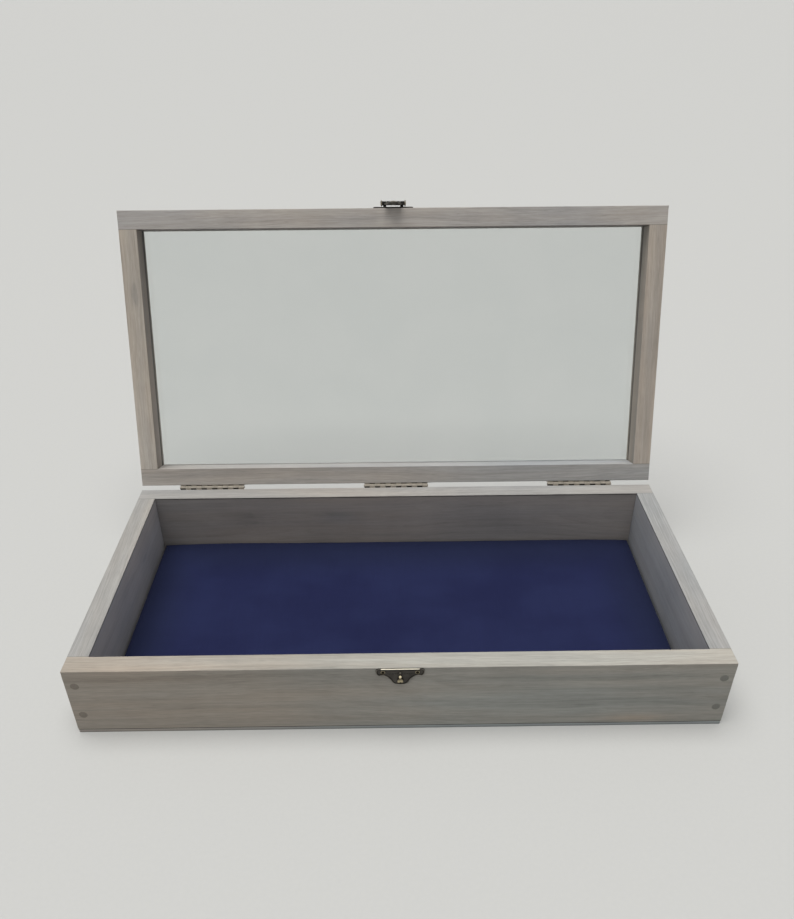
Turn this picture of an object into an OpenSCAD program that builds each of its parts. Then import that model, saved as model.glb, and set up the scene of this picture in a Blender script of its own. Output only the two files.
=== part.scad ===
// Hinged display case with a glazed lid, shown with the lid standing open.
// Millimetres. Origin: centre of the underside. +X right, +Y to the hinged
// rear, +Z up. The lid's pieces are drawn shut and then swung open.

/* [Case body] */
// Overall width of the case, left to right
body_w = 610; // [560:1:700]
// Overall depth of the case, front to rear
body_d = 310; // [260:1:380]
// Height of the base boards, without the bottom panel
board_h = 74; // [66:1:100]
// Thickness of every board, rail and stile
board_t = 20; // [19:0.5:23]
// Thickness of the bottom panel planted under the boards
panel_t = 4.4; // [3.2:0.1:6]
// How far the bottom panel's edge stays inside the boards' outer faces
panel_inset = 0.3; // [0:0.1:1]
// Easing radius on the outer wooden edges
edge_r = 0.6; // [0.5:0.1:2]
// Easing on the inner top edges of the base
inner_ease = 0.6; // [0.2:0.1:1]

/* [Display pad] */
// Gap between the pad and the walls around it
pad_gap = 1; // [0.5:0.1:3]
// Thickness of the stiff board under the pad
pad_board_t = 3; // [2:0.1:4]
// Thickness of the foam sheet on that board
pad_foam_t = 4.8; // [3:0.1:8]
// Thickness allowed for the woven cover
cover_t = 0.8; // [0.5:0.1:1.2]

/* [Lid] */
// Height of the lid's rails and stiles
rail_h = 31.5; // [30:0.5:45]
// Depth from the lid's inner edge faces to the pane
pane_drop = 25.2; // [22:0.1:28]
// Thickness of the glass pane
pane_t = 2.4; // [2:0.1:2.8]
// How far the pane goes into the groove on each side
pane_bite = 4.5; // [3:0.1:5]
// Width of the groove sawn for the pane, which lies against its outer side
groove_w = 3.2; // [3:0.1:3.6]
// Gap between lid and base when shut
lid_gap = 0.4; // [0.3:0.05:1]
// Opening angle at which the lid stands
lid_open = 109; // [0:1:180]

/* [Hinges] */
// Distance from the middle hinge to each outer hinge
hinge_pitch = 221; // [180:1:240]
// Length of each hinge
hinge_l = 76.2; // [63.5:0.1:76.2]
// Number of knuckles in each hinge, both leaves together
knuckles = 12; // [8:2:12]
// Outer diameter of the knuckles
barrel_d = 5; // [5:0.1:6]
// Diameter of the hinge pins
pin_d = 2; // [2:0.1:2.5]
// Thickness of the leaves
leaf_t = 1.5; // [1:0.1:1.6]
// Width of each leaf, measured from the hinge axis
leaf_w = 19; // [17:0.5:24]
// Distance of the hinge axis behind the rear faces
axis_back = 3.3; // [3.3:0.1:4]
// Gap between neighbouring knuckles
knuckle_gap = 0.15; // [0.1:0.05:0.3]
// Play between the pin and the upper leaf's knuckles, on the radius
pin_play = 0.05; // [0.02:0.01:0.1]

/* [Joints in the wood] */
// Diameter of the corner dowels
dowel_d = 8; // [6:0.5:10]
// Length of the corner dowels
dowel_l = 45; // [35:1:60]
// Distance of the dowels from the case's sides
dowel_in = 9; // [7:0.5:11]
// Height of the upper dowels above the table
dowel_z_up = 60; // [50:0.5:60]
// Height of the lower dowels above the table
dowel_z_low = 23.4; // [20:0.5:34]

/* [Latch] */
// Thickness of the latch sheet metal
sheet_t = 1.2; // [0.8:0.1:1.4]
// Distance of the hasp's pivot in front of the lid's face
hasp_out = 5; // [4.8:0.1:5.5]
// Height of the hasp's pivot above the lid's lower edge
hasp_up = 3.2; // [3:0.1:4]
// Outer diameter of the hasp's barrel
hasp_barrel_d = 4.4; // [4.4:0.1:4.8]
// Diameter of the hasp's pin
hasp_pin_d = 2; // [1.6:0.1:2.2]
// Angle by which the hasp stands off its latched position
hasp_lift = 0; // [0:1:30]

/* [Hidden] */

$fn = 48;
eps = 0.01;
hw = body_w / 2;
hd = body_d / 2;
base_h = panel_t + board_h;          // top of the base
lid_z = base_h + lid_gap;            // lower edge of the shut lid
ax_y = hd + axis_back;               // hinge axis
ax_z = base_h + lid_gap / 2;
ix = hw - board_t;                   // inner faces of the side boards
iy = hd - board_t;                   // inner faces of front and rear
pad_x = ix - pad_gap;
pad_y = iy - pad_gap;
pad_top = panel_t + pad_board_t + pad_foam_t + cover_t;
groove_d = pane_bite + 0.5;          // groove depth
hinge_xs = [-hinge_pitch, 0, hinge_pitch];
kn = hinge_l / knuckles;             // pitch of the knuckles
screw_dx = hinge_l * 0.37;
screw_z = leaf_w - 7;                // screws, away from the hinge axis
dowel_xs = [-(hw - dowel_in), hw - dowel_in];
lid_dowel_z = lid_z + 12.5;
brad_xs = [for (k = [-2.5:1:2.5]) k * body_w * 0.177];
brad_ys = [-1, 0, 1];
hp_y = -hd - hasp_out;               // hasp pivot, lid shut
hp_z = lid_z + hasp_up;
hbr = hasp_barrel_d / 2;
hook_z = 14.9;                       // hook's stud, below the base's top

wood_base = [0.49, 0.46, 0.42];
wood_lid = [0.56, 0.53, 0.48];
wood_end = [0.40, 0.37, 0.33];
brass = [0.42, 0.34, 0.21];
bronze = [0.20, 0.17, 0.13];

// ---- shared shapes -------------------------------------------------------

// Rectangle with eased corners, n facets to a corner
function eased(w, h, r, n = 4) = [
  for (c = [[1, 1, 0], [-1, 1, 90], [-1, -1, 180], [1, -1, 270]])
    for (k = [0:n])
      [c[0] * (w / 2 - r) + r * cos(c[2] + 90 * k / n),
       c[1] * (h / 2 - r) + r * sin(c[2] + 90 * k / n)]
];

// Block of size w, d, h standing on z0 with all its outer edges eased
module eased_block(w, d, h, z0, r) {
  intersection() {
    translate([0, 0, z0]) linear_extrude(h) polygon(eased(w, d, r));
    translate([0, d / 2, z0 + h / 2]) rotate([90, 0, 0])
      linear_extrude(d) polygon(eased(w, h, r));
    translate([-w / 2, 0, z0 + h / 2]) rotate([90, 0, 90])
      linear_extrude(w) polygon(eased(d, h, r));
  }
}

module base_body() { eased_block(body_w, body_d, base_h, 0, edge_r); }
module lid_body() { eased_block(body_w, body_d, rail_h, lid_z, edge_r); }

// A plain box given by two corners
module box(a, b) { translate(a) cube(b - a); }

// A rod along Y from y0 to y1
module rod_y(x, z, y0, y1, r) {
  translate([x, y0, z]) rotate([-90, 0, 0]) cylinder(h = y1 - y0, r = r);
}

// A rod along X from x0 to x1
module rod_x(x0, x1, y, z, r) {
  translate([x0, y, z]) rotate([0, 90, 0]) cylinder(h = x1 - x0, r = r);
}

// Small bevel cut along an inner top edge, running along X
module ease_x(x0, x1, y, z, s) {
  translate([x0, y, z]) rotate([45, 0, 0])
    translate([0, -s * 0.7071, -s * 0.7071]) cube([x1 - x0, s * 1.4142, s * 1.4142]);
}

// The same, running along Y
module ease_y(y0, y1, x, z, s) {
  translate([x, y0, z]) rotate([0, 45, 0])
    translate([-s * 0.7071, 0, -s * 0.7071]) cube([s * 1.4142, y1 - y0, s * 1.4142]);
}

// Swings the shut lid's pieces to their standing angle
module opened() {
  translate([0, ax_y, ax_z]) rotate([-lid_open, 0, 0])
    translate([0, -ax_y, -ax_z]) children();
}

// Lifts the hasp off its latched position
module lifted() {
  translate([0, hp_y, hp_z]) rotate([-hasp_lift, 0, 0])
    translate([0, -hp_y, -hp_z]) children();
}

// ---- fasteners and dowels ------------------------------------------------

// Corner dowels through the front or rear face; s is -1 or 1
module dowels(zs, s, r) {
  for (x = dowel_xs) for (z = zs)
    mirror([0, s > 0 ? 1 : 0, 0]) {
      rod_y(x, z, -hd + 0.35, -hd + dowel_l, r);
      translate([x, -hd, z]) rotate([-90, 0, 0])
        cylinder(h = 0.35, r1 = r - 0.3, r2 = r);
    }
}

// Bores for the same dowels
module dowel_bores(zs, s, r) {
  for (x = dowel_xs) for (z = zs)
    mirror([0, s > 0 ? 1 : 0, 0]) rod_y(x, z, -hd - 1, -hd + dowel_l, r);
}

// Brads that hold the bottom panel, or with extra = 1 the holes for them
module brads(extra = 0) {
  pts = concat(
    [for (x = brad_xs) for (s = [-1, 1]) [x, s * (hd - board_t / 2)]],
    [for (k = brad_ys) for (s = [-1, 1]) [s * (hw - board_t / 2), k * body_d * 0.24]]);
  for (p = pts) translate([p[0], p[1], 0]) {
    translate([0, 0, 0.1]) cylinder(h = 20, r = 0.7);
    translate([0, 0, extra > 0 ? -1 : 0.1])
      cylinder(h = extra > 0 ? 1.7 : 0.6, r = 1.4);
  }
}

// Countersunk wood screw along -Y, its head flush with y = hd + leaf_t
module screw(x, z) {
  translate([x, hd + leaf_t, z]) rotate([90, 0, 0]) {
    difference() {
      union() {
        cylinder(h = leaf_t, r1 = 3, r2 = 1.5);
        translate([0, 0, leaf_t]) cylinder(h = 10, r = 1.5);
        translate([0, 0, leaf_t + 10]) cylinder(h = 2.5, r1 = 1.5, r2 = 0.3);
      }
      for (a = [0, 90]) rotate([0, 0, a])
        translate([-1.7, -0.35, -1]) cube([3.4, 0.7, 1.8]);
    }
  }
}

// Room for that screw in the leaf and the wood
module screw_room(x, z) {
  translate([x, hd + leaf_t, z]) rotate([90, 0, 0]) {
    cylinder(h = leaf_t, r1 = 3, r2 = 1.5);
    translate([0, 0, -1]) cylinder(h = 1, r = 3);
    translate([0, 0, leaf_t - eps]) cylinder(h = 10 + eps, r = 1.5);
    translate([0, 0, leaf_t + 10 - eps]) cylinder(h = 2.6, r = 1.5);
  }
}

module hinge_screws(s) {
  for (xc = hinge_xs) for (k = [-1:1]) screw(xc + k * screw_dx, ax_z + s * screw_z);
}
module hinge_screw_rooms(s) {
  for (xc = hinge_xs) for (k = [-1:1]) screw_room(xc + k * screw_dx, ax_z + s * screw_z);
}

// Dome-headed pin into a front face at height z, or the hole for it
module escutcheon_pin(x, z) {
  rod_y(x, z, -hd - sheet_t, -hd + 9, 0.8);
  intersection() {
    translate([x, -hd - sheet_t + 0.7, z]) sphere(r = 1.7);
    translate([x - 3, -hd - sheet_t - 3, z - 3]) cube([6, 3, 6]);
  }
}
module pin_hole(x, z) { rod_y(x, z, -hd - sheet_t - 1, -hd + 9, 0.8); }

// ---- base ----------------------------------------------------------------

module base_front_board() {
  color(wood_base) difference() {
    intersection() {
      base_body();
      box([-hw, -hd, panel_t], [hw, -iy, base_h]);
    }
    ease_x(-ix, ix, -iy, base_h, inner_ease);
    dowel_bores([dowel_z_up, dowel_z_low], -1, dowel_d / 2);
    brads(1);
    for (x = [-15.6, 15.6]) pin_hole(x, base_h - 4.7);
  }
}

module base_rear_board() {
  color(wood_base) difference() {
    intersection() {
      base_body();
      box([-hw, iy, panel_t], [hw, hd, base_h]);
    }
    ease_x(-ix, ix, iy, base_h, inner_ease);
    dowel_bores([dowel_z_up, dowel_z_low], 1, dowel_d / 2);
    brads(1);
    hinge_screw_rooms(-1);
  }
}

module side_board(s) {
  difference() {
    intersection() {
      base_body();
      box([s > 0 ? ix : -hw, -iy, panel_t], [s > 0 ? hw : -ix, iy, base_h]);
    }
    ease_y(-iy, iy, s * ix, base_h, inner_ease);
    for (e = [-1, 1]) dowel_bores([dowel_z_up, dowel_z_low], e, dowel_d / 2);
    brads(1);
  }
}
module base_left_board() { color(wood_base) side_board(-1); }
module base_right_board() { color(wood_base) side_board(1); }

module bottom_panel() {
  color([0.38, 0.36, 0.34]) difference() {
    linear_extrude(panel_t) polygon(eased(body_w - 2 * panel_inset,
                                          body_d - 2 * panel_inset, edge_r));
    brads(1);
  }
}

module bottom_panel_brads() { color([0.6, 0.6, 0.62]) brads(); }

module base_corner_dowels() {
  color(wood_end) {
    dowels([dowel_z_up, dowel_z_low], -1, dowel_d / 2);
    dowels([dowel_z_up, dowel_z_low], 1, dowel_d / 2);
  }
}

// ---- display pad ---------------------------------------------------------

module pad_board() {
  color([0.55, 0.42, 0.28])
    box([-pad_x + 1, -pad_y + 1, panel_t], [pad_x - 1, pad_y - 1, panel_t + pad_board_t]);
}

module pad_foam() {
  color([0.85, 0.85, 0.82])
    box([-pad_x + 1, -pad_y + 1, panel_t + pad_board_t],
        [pad_x - 1, pad_y - 1, pad_top - cover_t]);
}

module pad_cover() {
  color([0.12, 0.13, 0.36]) difference() {
    translate([0, 0, panel_t]) linear_extrude(pad_top - panel_t)
      polygon(eased(2 * pad_x, 2 * pad_y, 3));
    box([-pad_x + 1, -pad_y + 1, panel_t - 1], [pad_x - 1, pad_y - 1, pad_top - cover_t]);
  }
}

// ---- hinges --------------------------------------------------------------

// One leaf with its knuckles; s = 1 is the lid's leaf, s = -1 the base's.
// The lid's leaf has the even knuckles, counted from the left end.
module leaf(xc, s) {
  x0 = xc - hinge_l / 2;
  own = [for (k = [0:knuckles - 1]) if ((s > 0) == (k % 2 == 0)) k];
  bore = pin_d / 2 + (s > 0 ? pin_play : 0);
  difference() {
    union() {
      translate([x0, hd, s > 0 ? ax_z + barrel_d / 2 + 0.6 : ax_z - leaf_w])
        cube([hinge_l, leaf_t, leaf_w - barrel_d / 2 - 0.6]);
      for (k = own) {
        xa = x0 + k * kn + knuckle_gap / 2;
        xb = x0 + (k + 1) * kn - knuckle_gap / 2;
        rod_x(xa, xb, ax_y, ax_z, barrel_d / 2);
        translate([xa, hd, s > 0 ? ax_z + 0.3 : ax_z - barrel_d / 2 - 0.7])
          cube([xb - xa, leaf_t, barrel_d / 2 + 0.4]);
      }
    }
    rod_x(x0 - 1, x0 + hinge_l + 1, ax_y, ax_z, bore);
    for (k = [-1:1]) screw_room(xc + k * screw_dx, ax_z + s * screw_z);
  }
}
module hinge_lower_leaf_left() { color(brass) leaf(hinge_xs[0], -1); }
module hinge_lower_leaf_centre() { color(brass) leaf(hinge_xs[1], -1); }
module hinge_lower_leaf_right() { color(brass) leaf(hinge_xs[2], -1); }
module hinge_upper_leaf_left() { color(brass) opened() leaf(hinge_xs[0], 1); }
module hinge_upper_leaf_centre() { color(brass) opened() leaf(hinge_xs[1], 1); }
module hinge_upper_leaf_right() { color(brass) opened() leaf(hinge_xs[2], 1); }

module hinge_pin(xc) {
  rod_x(xc - hinge_l / 2 - 0.6, xc + hinge_l / 2 + 0.6, ax_y, ax_z, pin_d / 2);
}
module hinge_pin_left() { color(brass) hinge_pin(hinge_xs[0]); }
module hinge_pin_centre() { color(brass) hinge_pin(hinge_xs[1]); }
module hinge_pin_right() { color(brass) hinge_pin(hinge_xs[2]); }

module hinge_lower_screws() { color(brass) hinge_screws(-1); }
module hinge_upper_screws() { color(brass) opened() hinge_screws(1); }

// ---- catch on the base ---------------------------------------------------

// Right half of the shaped plate's edge, from the end of the straight edge
// at y = 0 round the ear and the scallop to the foot of the lobe
plate_half = [
  [17.9, 0], [20, -0.3], [21.6, -1.4], [22.2, -3.6], [21.8, -6.2],
  [20.6, -8.1], [19.1, -8.8], [17.4, -8.4], [15.6, -8.4], [13.6, -9.3],
  [11.2, -11], [9, -13.6], [7.6, -16.4], [5.4, -18.7], [2.8, -19.5], [0, -19.7]
];

// Point at t on the smooth curve through b and c, between a and d
function smooth(a, b, c, d, t) =
  (2 * b + (c - a) * t + (2 * a - 5 * b + 4 * c - d) * t * t
   + (3 * b - a - 3 * c + d) * t * t * t) / 2;

// The half edge, smoothed, with its lobe reaching down to y = -lobe
function plate_edge(lobe) =
  let (n = len(plate_half) - 1,
       h = [for (q = plate_half)
              [q[0], q[1] > -8.8 ? q[1] : -8.8 + (q[1] + 8.8) * (lobe - 8.8) / 10.9]],
       g = concat([[14, 0]], h, [[-2.8, h[n - 1][1]]]))
  concat([for (k = [0:n - 1]) for (t = [0:2])
            smooth(g[k], g[k + 1], g[k + 2], g[k + 3], t / 3)], [h[n]]);

module plate_outline(lobe) {
  e = plate_edge(lobe);
  m = len(e) - 1;
  polygon(concat(e, [for (k = [m - 1:-1:0]) [-e[k][0], e[k][1]]]));
}

module catch_plate() {
  zt = base_h - 0.1;
  color(bronze) difference() {
    union() {
      translate([0, -hd, zt]) rotate([90, 0, 0]) linear_extrude(sheet_t) plate_outline(19.7);
      // rolled upper lip
      rod_x(-17.6, 17.6, -hd - sheet_t, zt - 1, 1);
    }
    for (x = [-15.6, 15.6]) pin_hole(x, base_h - 4.7);
    rod_y(0, base_h - hook_z, -hd - 3, -hd + 1, 1.15);
  }
}

// Tongue that rises out of the plate to a ball end, with a stud riveted
// through the plate. In the side view: distance out from the front, height
hook_side = [[sheet_t, -17], [1.9, -17], [2.4, -13.2], [3.4, -10.6], [4.5, -8.8],
             [4.7, -7.6], [3.5, -7.6], [3.3, -8.5], [2.4, -10.2], [1.5, -12.4],
             [sheet_t, -12.8]];
hook_front = [[2.6, -17], [2.6, -15], [1.8, -13], [1, -10.8], [0.8, -7.6]];

module catch_hook() {
  color(brass) {
    rod_y(0, base_h - hook_z, -hd - sheet_t, -hd, 1.15);
    translate([0, -hd, base_h]) {
      intersection() {
        translate([-4, 0, 0]) rotate([90, 0, 90]) linear_extrude(8)
          polygon([for (q = hook_side) [-q[0], q[1]]]);
        rotate([90, 0, 0]) linear_extrude(8)
          polygon(concat(hook_front, [for (k = [4:-1:0]) [-hook_front[k][0], hook_front[k][1]]]));
      }
      translate([0, -3.9, -7.6]) sphere(r = 1.3);
    }
  }
}

module catch_plate_pins() {
  color(brass) for (x = [-15.6, 15.6]) escutcheon_pin(x, base_h - 4.7);
}

// ---- lid -----------------------------------------------------------------

// Groove that holds the pane on all four sides
module pane_groove() {
  box([-ix - groove_d, -iy - groove_d, lid_z + pane_drop + pane_t - groove_w],
      [ix + groove_d, iy + groove_d, lid_z + pane_drop + pane_t]);
}

module lid_front_rail() {
  color(wood_lid) opened() difference() {
    intersection() {
      lid_body();
      box([-hw, -hd, lid_z], [hw, -iy, lid_z + rail_h]);
    }
    pane_groove();
    dowel_bores([lid_dowel_z], -1, dowel_d / 2);
    for (x = [-15.6, 15.6]) pin_hole(x, lid_z + 4.9);
  }
}

module lid_rear_rail() {
  color(wood_lid) opened() difference() {
    intersection() {
      lid_body();
      box([-hw, iy, lid_z], [hw, hd, lid_z + rail_h]);
    }
    pane_groove();
    dowel_bores([lid_dowel_z], 1, dowel_d / 2);
    hinge_screw_rooms(1);
  }
}

module stile(s) {
  difference() {
    intersection() {
      lid_body();
      box([s > 0 ? ix : -hw, -iy, lid_z], [s > 0 ? hw : -ix, iy, lid_z + rail_h]);
    }
    pane_groove();
    for (e = [-1, 1]) dowel_bores([lid_dowel_z], e, dowel_d / 2);
  }
}
module lid_left_stile() { color(wood_lid) opened() stile(-1); }
module lid_right_stile() { color(wood_lid) opened() stile(1); }

module lid_glass() {
  color([0.8, 0.88, 0.86, 0.35]) opened()
    box([-ix - pane_bite, -iy - pane_bite, lid_z + pane_drop],
        [ix + pane_bite, iy + pane_bite, lid_z + pane_drop + pane_t]);
}

module lid_corner_dowels() {
  color(wood_end) opened() {
    dowels([lid_dowel_z], -1, dowel_d / 2);
    dowels([lid_dowel_z], 1, dowel_d / 2);
  }
}

// ---- latch on the lid ----------------------------------------------------

module latch_plate() {
  zb = lid_z + 0.2;
  color(bronze) opened() difference() {
    union() {
      translate([0, -hd, zb]) rotate([90, 0, 0]) mirror([0, 1, 0])
        linear_extrude(sheet_t) plate_outline(16);
      for (s = [-1, 1]) {
        xa = s > 0 ? 7.6 : -12.5;
        rod_x(xa, xa + 4.9, hp_y, hp_z, hbr);
        // strip that leaves the plate and curls into the knuckle
        translate([s > 0 ? 7.6 : -11.2, hp_y, hp_z + hbr - sheet_t])
          cube([3.6, hasp_out, sheet_t]);
      }
    }
    rod_x(-14, 14, hp_y, hp_z, hasp_pin_d / 2);
    for (x = [-15.6, 15.6]) pin_hole(x, lid_z + 4.9);
  }
}

module latch_plate_pins() {
  color(brass) opened() for (x = [-15.6, 15.6]) escutcheon_pin(x, lid_z + 4.9);
}

// Pin through the latch's knuckles, with a domed head at each end
module latch_pin() {
  color(brass) opened() {
    rod_x(-12.9, 12.9, hp_y, hp_z, hasp_pin_d / 2);
    for (s = [-1, 1]) translate([0, hp_y, hp_z]) rotate([0, s * 90, 0])
      rotate_extrude() polygon([[0, 12.6], [3, 12.6], [3.3, 12.9], [3.2, 13.3],
                                [2.6, 13.7], [1.4, 14], [0, 14.1]]);
  }
}

// Side profile of the hasp in its latched position: y outward, z down the
// tongue; the tip curls outward as a finger lift
module hasp_profile() {
  i = hbr - sheet_t;                 // outer skin of the tongue
  o = hbr;                           // inner skin, towards the case
  n = 6;
  polygon(concat(
    [[o, -0.4], [o, -20.2]],
    [for (k = [0:n]) [i - 1.6 + (1.6 + sheet_t) * cos(90 * k / n),
                      -20.2 - (1.6 + sheet_t) * sin(90 * k / n)]],
    [for (k = [n:-1:0]) [i - 1.6 + 1.6 * cos(90 * k / n),
                         -20.2 - 1.6 * sin(90 * k / n)]],
    [[i, -0.4]]));
}

// Front outline of the hasp
module hasp_outline() {
  translate([-7.4, -12]) square([14.8, 12]);
  for (s = [-1, 1]) translate([s * 6.8, -6.4]) circle(r = 3);
  translate([-5.4, -18]) square([10.8, 10]);
  translate([0, -16.8]) circle(r = 6.6);
}

module latch_hasp() {
  color(bronze) opened() lifted() difference() {
    union() {
      rod_x(-7.4, 7.4, hp_y, hp_z, hbr);
      difference() {
        intersection() {
          translate([-12, hp_y, hp_z]) rotate([90, 0, 90]) linear_extrude(24) hasp_profile();
          translate([0, hp_y + 8, hp_z]) rotate([90, 0, 0]) linear_extrude(16) hasp_outline();
        }
        // slot that drops over the hook
        translate([-2.9, hp_y - 8, hp_z - 17]) cube([5.8, 16, 8]);
      }
    }
    rod_x(-9, 9, hp_y, hp_z, hasp_pin_d / 2 + 0.05);
    // side notches under the barrel, clear of the plate's knuckles
    for (s = [-1, 1]) translate([s > 0 ? 7.4 : -9.9, hp_y - 6, hp_z - 3.2])
      cube([2.5, 12, 8]);
  }
}

// ---- selection -----------------------------------------------------------

base_front_board();
base_rear_board();
base_left_board();
base_right_board();
bottom_panel();
bottom_panel_brads();
base_corner_dowels();
pad_board();
pad_foam();
pad_cover();
hinge_lower_leaf_left();
hinge_lower_leaf_centre();
hinge_lower_leaf_right();
hinge_pin_left();
hinge_pin_centre();
hinge_pin_right();
hinge_lower_screws();
catch_plate();
catch_hook();
catch_plate_pins();
lid_front_rail();
lid_rear_rail();
lid_left_stile();
lid_right_stile();
lid_glass();
lid_corner_dowels();
hinge_upper_leaf_left();
hinge_upper_leaf_centre();
hinge_upper_leaf_right();
hinge_upper_screws();
latch_plate();
latch_plate_pins();
latch_pin();
latch_hasp();
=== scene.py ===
"""Looks of a hinged, glazed wooden display case standing open: stained boards,
a cloth-covered pad, a clear pane, butt hinges and a small latch."""

import math

import bmesh
import bpy
from mathutils import Matrix, Vector, noise


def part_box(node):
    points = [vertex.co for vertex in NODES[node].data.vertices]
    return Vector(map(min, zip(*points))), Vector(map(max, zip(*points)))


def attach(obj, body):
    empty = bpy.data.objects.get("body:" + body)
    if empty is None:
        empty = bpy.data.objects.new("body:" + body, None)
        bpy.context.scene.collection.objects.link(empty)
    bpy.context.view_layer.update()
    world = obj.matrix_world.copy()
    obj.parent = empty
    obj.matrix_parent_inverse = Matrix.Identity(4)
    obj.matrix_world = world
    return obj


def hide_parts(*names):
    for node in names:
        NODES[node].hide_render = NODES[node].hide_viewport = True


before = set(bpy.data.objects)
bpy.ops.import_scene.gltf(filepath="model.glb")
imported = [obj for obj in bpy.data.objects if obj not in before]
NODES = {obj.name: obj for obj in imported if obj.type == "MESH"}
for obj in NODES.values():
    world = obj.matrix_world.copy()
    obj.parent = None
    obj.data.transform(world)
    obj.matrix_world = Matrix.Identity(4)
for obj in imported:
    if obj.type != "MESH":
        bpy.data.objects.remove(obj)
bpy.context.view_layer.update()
scene = bpy.context.scene

# Facts of the construction, in metres, in the shut position
HW, HD, BT = 0.305, 0.155, 0.020
PANEL_T, BASE_H = 0.0044, 0.0784
LID_Z, RAIL_H = 0.0788, 0.0315
IX, IY = HW - BT, HD - BT
AXIS = Vector((0.0, 0.1583, 0.0786))
LID_OPEN = math.radians(109)
OPEN = (
    Matrix.Translation(AXIS)
    @ Matrix.Rotation(-LID_OPEN, 4, "X")
    @ Matrix.Translation(-AXIS)
)


def lin(r, g, b, a=1.0):
    """Linear colour of an 8-bit display colour."""
    f = lambda c: c / 12.92 if c <= 0.04045 else ((c + 0.055) / 1.055) ** 2.4
    return (f(r / 255), f(g / 255), f(b / 255), a)


# ---------------------------------------------------------------- node trees


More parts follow.
